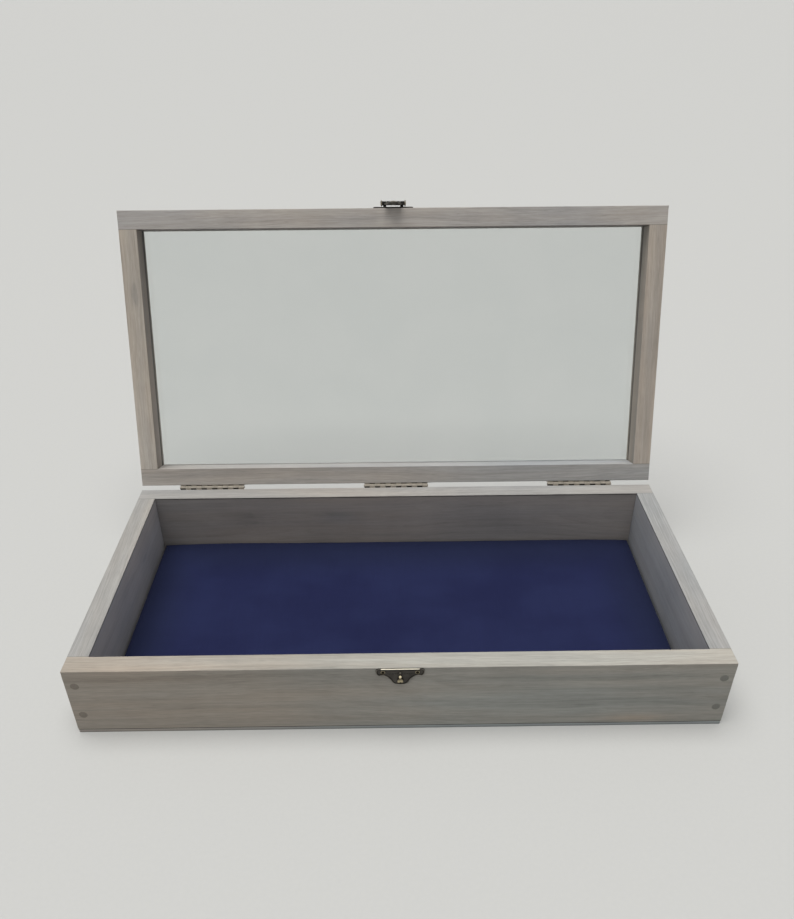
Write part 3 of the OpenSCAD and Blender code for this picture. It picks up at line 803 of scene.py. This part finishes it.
def plate_loop(lobe, inset=0.0, steps=4):
    """The shaped plate's outline, moved inwards by inset."""
    h = [(x, y if y > -8.8 else -8.8 + (y + 8.8) * (lobe - 8.8) / 10.9) for x, y in PLATE_HALF]
    g = [(14, 0)] + h + [(-2.8, h[-2][1])]
    half = [catmull(*g[k : k + 4], s / steps) for k in range(len(h) - 1) for s in range(steps)] + [h[-1]]
    loop = half + [(-x, y) for x, y in reversed(half[:-1])]
    if not inset:
        return loop
    out = []
    n = len(loop)
    for i, (x, y) in enumerate(loop):
        p, q = loop[i - 1], loop[(i + 1) % n]
        if i == 0:
            p = (x - 1, y)
        if i == n - 1:
            q = (x + 1, y)
        dx, dy = q[0] - p[0], q[1] - p[1]
        d = math.hypot(dx, dy)
        out.append((x + dy / d * inset, y - dx / d * inset))
    return out


def plate(shells, lobe, place):
    """A stamped plate with a raised, rounded rim round a sunk field; place takes across, up, out."""
    loops = []
    for inset, depth, worn, dirt in (
        (0.15, 0.00, 0.0, 0.8),
        (0.00, 0.15, 0.0, 0.7),
        (0.00, 0.75, 0.05, 0.35),
        (0.14, 1.02, 0.30, 0.0),
        (0.42, 1.20, 0.42, 0.0),
        (0.78, 1.14, 0.30, 0.0),
        (1.05, 0.88, 0.0, 0.45),
        (1.30, 0.76, 0.0, 0.70),
        (1.75, 0.72, 0.0, 0.2),
        (1.95, 0.72, 0.0, 0.0),
    ):
        loops.append(([place(x, y, depth) for x, y in plate_loop(lobe, inset)], worn, dirt))
    shells.rings(loops)


PIN_HEAD = (  # an eyelet's collar round the pin's slightly sunk head, whose near-black colour is a painted reflection of a dark room
    (0.80, -9.0, 0.0, 0.4),
    (0.80, 0.70, 0.0, 1.0),
    (2.00, 0.72, 0.0, 0.5),
    (2.05, 0.95, 0.3, 0.2),
    (1.85, 1.22, 0.5, 0.0),
    (1.60, 1.28, 0.3, 0.2),
    (1.40, 1.16, 0.0, 0.8),
    (1.15, 1.02, 0.0, 1.0),
    (0.70, 1.06, 0.0, 1.0),
    (0.30, 1.10, 0.0, 1.0),
    (0.05, 1.11, 0.0, 1.0),
)

# the catch plate, with its rolled upper lip
Z0 = 78.3
s = Shells()
plate(s, 19.7, lambda x, y, d: Vector((x, -155 - d, Z0 + y)))
prof = [(0.45, -17.6), (0.85, -17.5)] + [(1.0, 17.2 * i / 8) for i in range(-8, 9)] + [(0.85, 17.5), (0.45, 17.6)]
lip = []
for r, h in prof:
    pts = [
        Vector((h, -156.2 - r * math.sin(2 * math.pi * i / 20), Z0 - 1.0 + r * math.cos(2 * math.pi * i / 20)))
        for i in range(20)
    ]
    # painted shade: the lip's lower side is marked near black, for the shadow under the lip
    lip.append((pts, lambda p: 1.0 if p.z > Z0 - 0.3 else 0.0, lambda p: 0.9 if p.z < Z0 - 0.8 else 0.0))
s.rings(lip)
# a small rib stamped above the hook
s.lathe(
    (0, -155.6, Z0 - 5.7),
    (0, -1, 0),
    ((0.9, 0.0, 0, 0.6), (0.9, 0.25, 0.25, 0), (0.6, 0.5, 0.4, 0), (0.1, 0.58, 0.4, 0)),
    18,
    (2.1, 1.1),
)
s.done("catch_plate_stamped", DARK[False], "base", "dark_bronze", "catch_plate")

# the hook: a tongue cut from the plate's foot, bent out and up, with a ball at its tip
s = Shells()
spine = (  # out, height, half width, half thickness, lean of the section
    (1.15, -17.0, 2.45, 0.42, 0.00, 0.0, 0.5),
    (1.62, -16.6, 2.60, 0.46, 0.10, 0.1, 0.0),
    (1.80, -15.4, 2.60, 0.46, 0.15, 0.4, 0.0),
    (1.95, -14.0, 2.55, 0.46, 0.25, 0.4, 0.0),
    (2.20, -12.7, 2.25, 0.48, 0.45, 0.3, 0.0),
    (2.70, -11.3, 1.55, 0.52, 0.60, 0.2, 0.1),
    (3.30, -10.0, 1.05, 0.56, 0.75, 0.1, 0.3),
    (3.75, -8.9, 0.80, 0.60, 0.75, 0.3, 0.1),
    (3.90, -8.0, 0.72, 0.60, 0.60, 0.6, 0.0),
)
loops = []
for out, z, hw, ht, lean, worn, dirt in spine:
    # the section stands square to the spine
    w = Vector((0, -math.sin(lean), math.cos(lean)))
    thick = Vector((0, -math.cos(lean), -math.sin(lean)))
    pts = []
    for i in range(20):
        c = 2 * math.pi * i / 20
        e = 0.6  # a rounded oblong
        cx, cy = math.copysign(abs(math.cos(c)) ** e, math.cos(c)), math.copysign(abs(math.sin(c)) ** e, math.sin(c))
        pts.append(Vector((cx * hw, -155 - out, 78.4 + z)) + thick * (cy * ht))
    loops.append((pts, worn, dirt))
s.rings(loops)
s.ball((0, -158.9, 70.8), 1.3, worn=0.9)
s.lathe((0, -155, 63.5), (0, -1, 0), ((1.1, 0, 0, 0.5), (1.15, 0.2, 0, 0.5), (1.15, 1.3, 0, 0.5)), 20)
# a near-black disc in the notch it was cut from, under its two feet: painted shade
s.lathe((0, -155.7, 62.3), (0, -1, 0), ((0.75, 0.0, 0, 1), (0.75, 1.42, 0, 1), (0.7, 1.5, 0, 1)), 16, (0.9, 1.0))
s.done("catch_hook_tongue", WORN[False], "base", "worn_brass", "catch_hook")

s = Shells()
for x in (-15.6, 15.6):
    s.lathe((x, -155, 73.7), (0, -1, 0), PIN_HEAD, 24)
s.done("catch_pins", WORN[False], "base", "worn_brass", "catch_plate_pins")

# the latch plate on the lid, with its two knuckles
s = Shells()
plate(s, 16.0, lambda x, y, d: Vector((x, -155 - d, 79.0 - y)))
for side in (-1, 1):
    xa = 7.6 if side > 0 else -12.5
    prof = (
        (1.75, 0.0, 0.3, 0.3), (2.12, 0.12, 0.6, 0.0), (2.2, 0.4, 0.3, 0.0), (2.2, 1.3, 0.1, 0.0), (2.02, 1.5, 0.0, 0.8),
        (2.2, 1.7, 0.2, 0.0), (2.2, 3.2, 0.2, 0.0), (2.02, 3.4, 0.0, 0.8), (2.2, 3.6, 0.1, 0.0), (2.2, 4.5, 0.3, 0.0),
        (2.12, 4.78, 0.6, 0.0), (1.75, 4.9, 0.3, 0.3),
    )
    s.lathe((xa, -160, 82.0), (1, 0, 0), prof, 26)
    xc = 9.4 if side > 0 else -9.4
    loops = []
    for y, grow in ((-160.0, 0.0), (-158.6, 0.0), (-157.2, 0.0), (-156.4, 0.1), (-155.6, 0.2)):
        pts = []
        for i in range(16):
            c = 2 * math.pi * i / 16
            cx, cz = math.copysign(abs(math.cos(c)) ** 0.4, math.cos(c)), math.copysign(abs(math.sin(c)) ** 0.4, math.sin(c))
            pts.append(Vector((xc + cx * (1.7 + grow * 0.3), y, 83.6 + cz * 0.55)))
        loops.append((pts, 0.15, 0.1))
    s.rings(loops)
s.done("latch_plate_stamped", DARK[True], "lid", "dark_bronze", "latch_plate", lid=True)

s = Shells()
for x in (-15.6, 15.6):
    s.lathe((x, -155, 83.7), (0, -1, 0), PIN_HEAD, 24)
s.done("latch_pins", WORN[True], "lid", "worn_brass", "latch_plate_pins", lid=True)


def curve_plate(loops, thick, bevel):
    """A flat sheet with rounded edges and holes, in millimetres, as a new mesh."""
    cu = bpy.data.curves.new("sheet_outline", "CURVE")
    cu.dimensions, cu.fill_mode = "2D", "BOTH"
    cu.extrude, cu.bevel_depth, cu.bevel_resolution, cu.offset = thick / 2 - bevel, bevel, 2, -bevel
    for loop in loops:
        sp = cu.splines.new("POLY")
        sp.points.add(len(loop) - 1)
        for p, (x, y) in zip(sp.points, loop):
            p.co = (x, y, 0, 1)
        sp.use_cyclic_u = True
    ob = bpy.data.objects.new("sheet_outline", cu)
    scene.collection.objects.link(ob)
    me = bpy.data.meshes.new_from_object(ob.evaluated_get(bpy.context.evaluated_depsgraph_get()))
    bpy.data.objects.remove(ob)
    bpy.data.curves.remove(cu)
    return me


def hasp():
    """The hasp: a waisted tongue with ears, a slot for the hook and a tip curled out for a fingertip."""
    half = [
        (7.4, -0.3), (7.4, -2.6), (8.8, -4.0), (9.8, -6.2), (9.2, -8.4), (7.5, -9.8), (6.3, -11.4), (5.9, -13.4),
        (6.4, -15.4), (6.6, -17.2), (6.2, -19.4), (4.8, -21.6), (2.5, -22.9), (0, -23.3),
    ]
    g = [(6.4, -0.3)] + half + [(-2.5, -22.9)]
    right = [half[0]] + [catmull(*g[k : k + 4], t / 4) for k in range(1, len(half) - 1) for t in range(4)] + [half[-1]]
    outer = right + [(-x, y) for x, y in reversed(right[:-1])]
    slot = []
    for cx, cy, a0 in ((1.7, -10.2, 0), (-1.7, -10.2, 90), (-1.7, -15.8, 180), (1.7, -15.8, 270)):
        for i in range(6):
            c = math.radians(a0 + 18 * i)
            slot.append((cx + 1.2 * math.cos(c), cy + 1.2 * math.sin(c)))
    me = curve_plate([outer, slot], 1.2, 0.3)
    s = Shells()
    src = bmesh.new()
    src.from_mesh(me)
    bpy.data.meshes.remove(me)
    bmesh.ops.remove_doubles(src, verts=src.verts, dist=0.01)
    for k in range(8):
        bmesh.ops.bisect_plane(
            src, geom=src.verts[:] + src.edges[:] + src.faces[:], plane_co=(0, -20.2 - 0.42 * k, 0), plane_no=(0, 1, 0)
        )
    new = {}
    for v in src.verts:
        x, y, t = v.co
        if y >= -20.2:
            p = Vector((x, -158.4 + t, 82.0 + y))
            worn = 0.12
        else:
            a = (-20.2 - y) / 2.2
            p = Vector((x, -160.6 + (2.2 + t) * math.cos(a), 61.8 - (2.2 + t) * math.sin(a)))
            worn = min(0.45, 0.12 + 0.3 * a)
        edge = 0.0 if abs(t) > 0.55 else 0.35
        new[v] = s.vert(p, max(worn, edge), 0.0)
    for f in src.faces:
        s.bm.faces.new([new[v] for v in f.verts])
    src.free()
    prof = [(1.8, -7.4, 0.2, 0.3), (2.14, -7.28, 0.5, 0), (2.2, -7.0, 0.3, 0)]
    for c in (-4.6, -1.6, 1.6, 4.6):
        prof += [(2.2, c - 0.35, 0.1, 0), (2.0, c, 0, 0.9), (2.2, c + 0.35, 0.1, 0)]
    prof += [(2.2, 7.0, 0.3, 0), (2.14, 7.28, 0.5, 0), (1.8, 7.4, 0.2, 0.3)]
    s.lathe((0, -160, 82.0), (1, 0, 0), prof, 28)
    s.done("hasp_tongue", DARK[True], "hasp", "dark_bronze", "latch_hasp", lid=True)


hasp()

# ---------------------------------------------------------------------- pad


def cloth_material(name):
    """Navy cotton in a plain weave, with slubs, a soft nap and faint creases."""
    t = Tree(name)
    mm = t.coords()
    x, y, z = t.sep(mm)
    slub = t.noise(t.vm("MULTIPLY", mm, (1 / 26, 1 / 0.9, 1 / 3)), detail=3.0, rough=0.6)
    slub2 = t.noise(t.vm("MULTIPLY", mm, (1 / 0.9, 1 / 26, 1 / 3)), detail=3.0, rough=0.6)
    pitch = 0.55
    k = math.pi / pitch
    sx = t.m("SINE", t.mul(t.add(x, t.mul(slub2, 0.25)), k))
    sy = t.m("SINE", t.mul(t.add(y, t.mul(slub, 0.25)), k))
    cx = t.m("COSINE", t.mul(x, k))
    cy = t.m("COSINE", t.mul(y, k))
    warp = t.mul(t.m("ABSOLUTE", sx), t.add(0.62, t.mul(cy, 0.38)))
    weft = t.mul(t.m("ABSOLUTE", sy), t.sub(0.62, t.mul(cx, 0.38)))
    over = t.m("GREATER_THAN", warp, weft)
    h = t.m("MAXIMUM", warp, weft)
    cloud = t.noise(t.vm("MULTIPLY", mm, (1 / 90, 1 / 60, 1 / 20)), detail=3.0)
    fuzz = t.noise(t.vm("MULTIPLY", mm, (1 / 0.2,) * 3), detail=2.0)
    base = t.mix(t.rng(cloud, 0.35, 0.65), lin(29, 33, 64), lin(33, 38, 70))
    # painted shade: darker and greyer towards the walls at its sides and rear
    rim = t.m("MAXIMUM", t.rng(t.m("ABSOLUTE", x), 215.0, 275.0), t.rng(y, 55.0, 120.0))
    base = t.mix(t.mul(rim, 0.62), base, lin(28, 33, 52))
    lum = t.add(0.66, t.mul(h, 0.46), t.dev(t.mixf(over, slub, slub2), 0.5), t.dev(fuzz, 0.2))
    # painted light: a little lighter towards the open front
    lum = t.mul(lum, t.rng(y, -130.0, -30.0, 1.06, 1.0))
    crease = t.noise(t.vm("MULTIPLY", mm, (1 / 70, 1 / 45, 1 / 20)), detail=2.0)
    t.principled(
        Base_Color=t.times(base, lum),
        Roughness=t.add(0.84, t.mul(fuzz, 0.12)),
        Specular_IOR_Level=0.15,
        Sheen_Weight=0.06,
        Sheen_Roughness=0.5,
        Sheen_Tint=(0.55, 0.6, 1.0, 1.0),
        Normal=t.bump(h, 0.00012, 0.8, t.bump(crease, 0.0004, 0.4)),
    )
    return t.mat


def make_pad():
    """The cloth wrapped over foam and board: a slab of quads, inflated a little by cloth
    simulation so that its faces crown and its edges round over."""
    lo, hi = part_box("pad_cover")
    hx, hy = hi.x + 0.0004, hi.y + 0.0006
    z0, z1 = lo.z, hi.z

    def spread(h, n):
        """Steps from -h to h, closer at the wrapped edges."""
        near = [0.0, 0.0011, 0.0028, 0.0055]
        a = h - 0.0095
        mid = [-a + 2 * a * i / n for i in range(n + 1)]
        return [-h + d for d in near] + mid + [h - d for d in reversed(near)]

    xs, ys = spread(hx, 108), spread(hy, 50)
    nx, ny = len(xs) - 1, len(ys) - 1
    zs = [z0, z0 + (z1 - z0) * 0.4, z0 + (z1 - z0) * 0.78, z1 - 0.0009, z1]
    r = 0.004

    def place(x, y, z):
        """Rounds the plan's corners."""
        cx, cy = hx - r, hy - r
        if abs(x) > cx and abs(y) > cy:
            dx, dy = abs(x) - cx, abs(y) - cy
            d = math.hypot(dx, dy)
            m = max(dx, dy)
            if d > 0:
                x = math.copysign(cx + dx * m / d, x)
                y = math.copysign(cy + dy * m / d, y)
        return (x, y, z)

    bm = bmesh.new()
    seen = {}

    def vert(i, j, k):
        key = (i, j, k)
        if key not in seen:
            seen[key] = bm.verts.new(place(xs[i], ys[j], zs[k]))
        return seen[key]

    top = len(zs) - 1
    for i in range(nx):
        for j in range(ny):
            bm.faces.new([vert(i, j, top), vert(i + 1, j, top), vert(i + 1, j + 1, top), vert(i, j + 1, top)])
            bm.faces.new([vert(i, j, 0), vert(i, j + 1, 0), vert(i + 1, j + 1, 0), vert(i + 1, j, 0)])
    for k in range(top):
        for i in range(nx):
            bm.faces.new([vert(i, 0, k), vert(i + 1, 0, k), vert(i + 1, 0, k + 1), vert(i, 0, k + 1)])
            bm.faces.new([vert(i + 1, ny, k), vert(i, ny, k), vert(i, ny, k + 1), vert(i + 1, ny, k + 1)])
        for j in range(ny):
            bm.faces.new([vert(0, j + 1, k), vert(0, j, k), vert(0, j, k + 1), vert(0, j + 1, k + 1)])
            bm.faces.new([vert(nx, j, k), vert(nx, j + 1, k), vert(nx, j + 1, k + 1), vert(nx, j, k + 1)])
    bmesh.ops.recalc_face_normals(bm, faces=bm.faces)
    me = bpy.data.meshes.new("pad_cloth")
    bm.to_mesh(me)
    bm.free()
    obj = bpy.data.objects.new("pad_cloth", me)
    scene.collection.objects.link(obj)
    start = [v.co.copy() for v in me.vertices]
    pin = obj.vertex_groups.new(name="pin")
    pin.add([v.index for v in me.vertices if v.co.z < zs[1] - 1e-5], 1.0, "REPLACE")
    mod = obj.modifiers.new("cloth", "CLOTH")
    st = mod.settings
    st.quality = 6
    st.mass = 0.25
    st.tension_stiffness = st.compression_stiffness = 30
    st.shear_stiffness = 12
    st.bending_stiffness = 0.8
    st.use_pressure = True
    st.uniform_pressure_force = 3.0
    st.vertex_group_mass = "pin"
    st.effector_weights.gravity = 0.0
    mod.collision_settings.use_collision = False
    for f in range(1, 15):
        scene.frame_set(f)
    dg = bpy.context.evaluated_depsgraph_get()
    e = obj.evaluated_get(dg)
    got = [v.co.copy() for v in e.data.vertices]
    obj.modifiers.remove(mod)
    scene.frame_set(1)
    # how far a point may move, then slack and puckers along the wrapped edges
    for v, a, b in zip(me.vertices, start, got):
        d = b - a
        cap = 0.0009
        if d.length > cap:
            d *= cap / d.length
        p = a + d
        edge = max(0.0, min(hx - abs(a.x), hy - abs(a.y)))
        if a.z > z0 + 1e-4:
            lift = max(0.0, (a.z - z0) / (z1 - z0))
            slack = noise.noise(Vector((a.x * 12, a.y * 12, 3.1))) * 0.0003
            puck = noise.noise(Vector((a.x * 60, a.y * 60, 9.7))) * 0.0003
            p.z += lift * (slack + puck * math.exp(-edge / 0.012))
            # the wrapped edge wanders in and out, and stands further from the wall at its left
            # rear and right front, where the panel was cut a little short
            n1 = noise.noise(Vector((a.x * 11, a.y * 11, 20.0))) * 0.5 + 0.5
            corner = math.exp(-math.hypot(hx - abs(a.x), hy - abs(a.y)) / 0.016)
            fade = lift ** 3 * math.exp(-edge / 0.012)
            along = 0.5 + 0.5 * a.y / hy
            if hy - abs(a.y) <= hx - abs(a.x):
                p.y -= math.copysign((0.0003 + 0.0005 * n1) * fade, a.y)
            else:
                short = 0.0026 * along ** 2 if a.x < 0 else 0.0016 * (1 - along) + 0.0006
                p.x -= math.copysign((0.0002 + 0.0005 * n1 + short) * fade, a.x)
            p.z -= 0.0007 * corner * lift
            # the rear edge is pressed up by the wall
            push = math.exp(-(hy - a.y) / 0.022) * lift * (1.0 - corner)
            wave = 0.5 + 0.5 * math.cos((a.x + 0.19) / 0.075) * math.exp(-abs(a.x + 0.19) / 0.2)
            p.z += push * (0.0009 + 0.0010 * wave)
        # the rolled edge
        t = max(0.0, 1 - edge / 0.0026)
        if a.z > z1 - 1e-6:
            p.z -= 0.0007 * t * t
        lim_x, lim_y = IX - 0.0003, IY - 0.0003
        p.x = max(-lim_x, min(lim_x, p.x))
        p.y = max(-lim_y, min(lim_y, p.y))
        p.z = max(z0, p.z)
        v.co = p
    obj.vertex_groups.clear()
    sub = obj.modifiers.new("smooth", "SUBSURF")
    sub.levels = sub.render_levels = 1
    dg = bpy.context.evaluated_depsgraph_get()
    new = bpy.data.meshes.new_from_object(obj.evaluated_get(dg))
    obj.modifiers.clear()
    obj.data = new
    for p in new.polygons:
        p.use_smooth = True
    set_material(obj, cloth_material("navy_cotton"))
    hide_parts("pad_cover")
    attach(obj, "base")
    return obj


make_pad()


def foam_slab():
    """The foam sheet inside the cloth, its upper edges rounded by the wrap."""
    z0, z1, hx, hy = 7.4, 10.9, 281.4, 130.6
    s = Shells()
    loops = []
    for inset, z in (
        (0.6, z0), (0.1, z0 + 0.2), (0.0, z0 + 0.7), (0.25, z0 + 1.7), (0.9, z0 + 2.5), (1.9, z0 + 3.05), (3.2, z0 + 3.35),
        (5.0, z1), (30.0, z1 + 0.1),
    ):
        pts = []
        a, b, r = hx - inset, hy - inset, 4.0
        for sx_, sy_, a0 in ((1, 1, 0), (-1, 1, 90), (-1, -1, 180), (1, -1, 270)):
            for i in range(7):
                c = math.radians(a0 + 15 * i)
                pts.append(Vector((sx_ * (a - r) + r * math.cos(c), sy_ * (b - r) + r * math.sin(c), z)))
        loops.append((pts, 0.0, 0.0))
    s.rings(loops)
    obj = s.done(
        "foam_slab", raw_board("open_foam", lin(196, 196, 186), lin(236, 236, 228), 0.9, 0.8), "base", "foam", "pad_foam"
    )


foam_slab()

# -------------------------------------------------------------------- stage


def floor():
    me = bpy.data.meshes.new("floor")
    s = 60.0
    me.from_pydata([(-s, -s, 0), (s, -s, 0), (s, s, 0), (-s, s, 0)], [], [(0, 1, 2, 3)])
    obj = bpy.data.objects.new("floor", me)
    scene.collection.objects.link(obj)
    obj.location.z = -0.0001
    t = Tree("pale_floor")
    p = t.node("ShaderNodeTexCoord").outputs["Object"]
    a = t.noise(p, detail=4.0, scale=260.0)
    t.principled(
        Base_Color=t.mix(a, (0.430, 0.431, 0.422, 1), (0.450, 0.451, 0.441, 1)),
        Roughness=0.95,
        Specular_IOR_Level=0.1,
    )
    obj.data.materials.append(t.mat)


floor()

world = bpy.data.worlds.new("studio")
scene.world = world
world.use_nodes = True
nt = world.node_tree
nt.nodes.clear()
wo = nt.nodes.new("ShaderNodeOutputWorld")
bg = nt.nodes.new("ShaderNodeBackground")
tc = nt.nodes.new("ShaderNodeTexCoord")
sx = nt.nodes.new("ShaderNodeSeparateXYZ")
rp = nt.nodes.new("ShaderNodeValToRGB")
el = rp.color_ramp.elements
el[0].position, el[0].color = 0.0, (0.53, 0.54, 0.56, 1)
el[1].position, el[1].color = 1.0, (0.30, 0.305, 0.315, 1)
e = el.new(0.10)
e.color = (0.50, 0.51, 0.53, 1)
e = el.new(0.45)
e.color = (0.30, 0.305, 0.315, 1)
# a little brighter from the left and from behind the case
side = nt.nodes.new("ShaderNodeVectorMath")
side.operation = "DOT_PRODUCT"
side.inputs[1].default_value = (-0.22, 0.22, 0.0)
plus = nt.nodes.new("ShaderNodeMath")
plus.operation = "ADD"
plus.inputs[1].default_value = 1.0
nt.links.new(tc.outputs["Generated"], side.inputs[0])
nt.links.new(side.outputs["Value"], plus.inputs[0])
nt.links.new(tc.outputs["Generated"], sx.inputs[0])
nt.links.new(sx.outputs[2], rp.inputs[0])
nt.links.new(rp.outputs[0], bg.inputs["Color"])
nt.links.new(plus.outputs[0], bg.inputs["Strength"])
nt.links.new(bg.outputs[0], wo.inputs["Surface"])


def sun(name, direction, energy, angle, glossy, color=(1, 1, 1)):
    d = bpy.data.lights.new(name, "SUN")
    d.energy, d.angle, d.color = energy, math.radians(angle), color
    o = bpy.data.objects.new(name, d)
    scene.collection.objects.link(o)
    o.rotation_mode = "QUATERNION"
    o.rotation_quaternion = Vector(direction).to_track_quat("Z", "Y")
    o.location = Vector(direction) * 3
    o.visible_glossy = glossy
    return o


def area(name, place, target, size, energy, color=(1, 1, 1)):
    d = bpy.data.lights.new(name, "AREA")
    d.shape, d.size, d.size_y, d.energy, d.color = "RECTANGLE", size[0], size[1], energy, color
    o = bpy.data.objects.new(name, d)
    scene.collection.objects.link(o)
    o.location = place
    o.rotation_mode = "QUATERNION"
    o.rotation_quaternion = (Vector(place) - Vector(target)).to_track_quat("Z", "Y")
    o.visible_glossy = False
    return o


sun("overhead", (-0.11, -0.07, 1.0), 3.65, 52, False, (1.0, 0.99, 0.965))
area("front_left", (-2.2, -2.0, 1.3), (0, 0, 0.1), (0.8, 0.7), 4.0)

# ------------------------------------------------------------------- camera

cam = bpy.data.cameras.new("camera")
eye = bpy.data.objects.new("camera", cam)
scene.collection.objects.link(eye)
eye.matrix_world = Matrix.Translation((-0.0072, -0.7021, 0.6038)) @ (
    Matrix.Rotation(-0.0076, 4, "Z")
    @ Matrix.Rotation(0.9625, 4, "X")
    @ Matrix.Rotation(-0.0075, 4, "Z")
)
cam.sensor_width, cam.lens = 36.0, 32.686
cam.shift_x, cam.shift_y = 0.0013, 0.0832
cam.clip_start, cam.clip_end = 0.01, 200.0
scene.camera = eye

scene.view_settings.view_transform = "Standard"
scene.view_settings.look = "None"
